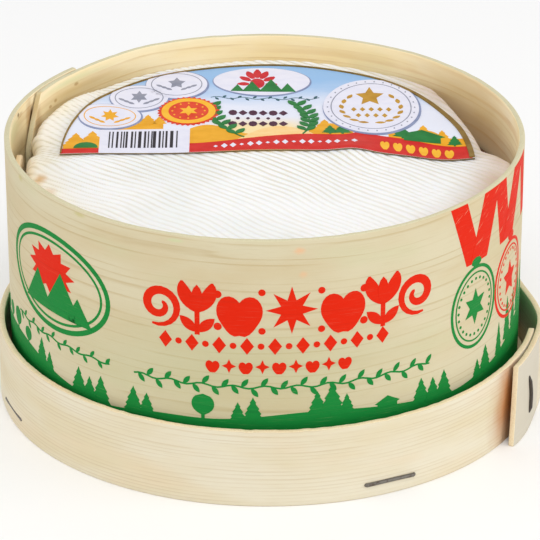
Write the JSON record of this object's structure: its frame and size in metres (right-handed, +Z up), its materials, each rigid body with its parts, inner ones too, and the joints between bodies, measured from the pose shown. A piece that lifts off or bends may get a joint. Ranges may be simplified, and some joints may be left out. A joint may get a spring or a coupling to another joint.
{
  "type": "vacherin mont d or",
  "caption": "Soft cheese in a strap of bark, in a round spruce box that stands in its upturned lid, with a half-round paper label on top.",
  "frame": {"origin": "on the surface that the lid stands on, under the middle of the box", "axes": "+Z up out of the open box, -Y towards the front of the box, +X towards the overlap of the lid's band"},
  "size_m": [0.1234, 0.122, 0.0619],
  "materials": {
    "spruce_band": "matte",
    "spruce_disc": "matte",
    "bark": "matte",
    "rind": "soft",
    "label_paper": "satin",
    "staple_steel": "dull"
  },
  "bodies": {
    "root": {"lid_band": "spruce_band", "lid_disc": "spruce_disc", "lid_staple_1": "staple_steel", "lid_staple_2": "staple_steel", "lid_staple_3": "staple_steel", "lid_staple_4": "staple_steel", "lap_staple": "staple_steel", "box_band": "spruce_band", "box_base": "spruce_disc", "bark_strap": "bark", "cheese": "rind", "label": "label_paper"}
  },
  "joints": []
}
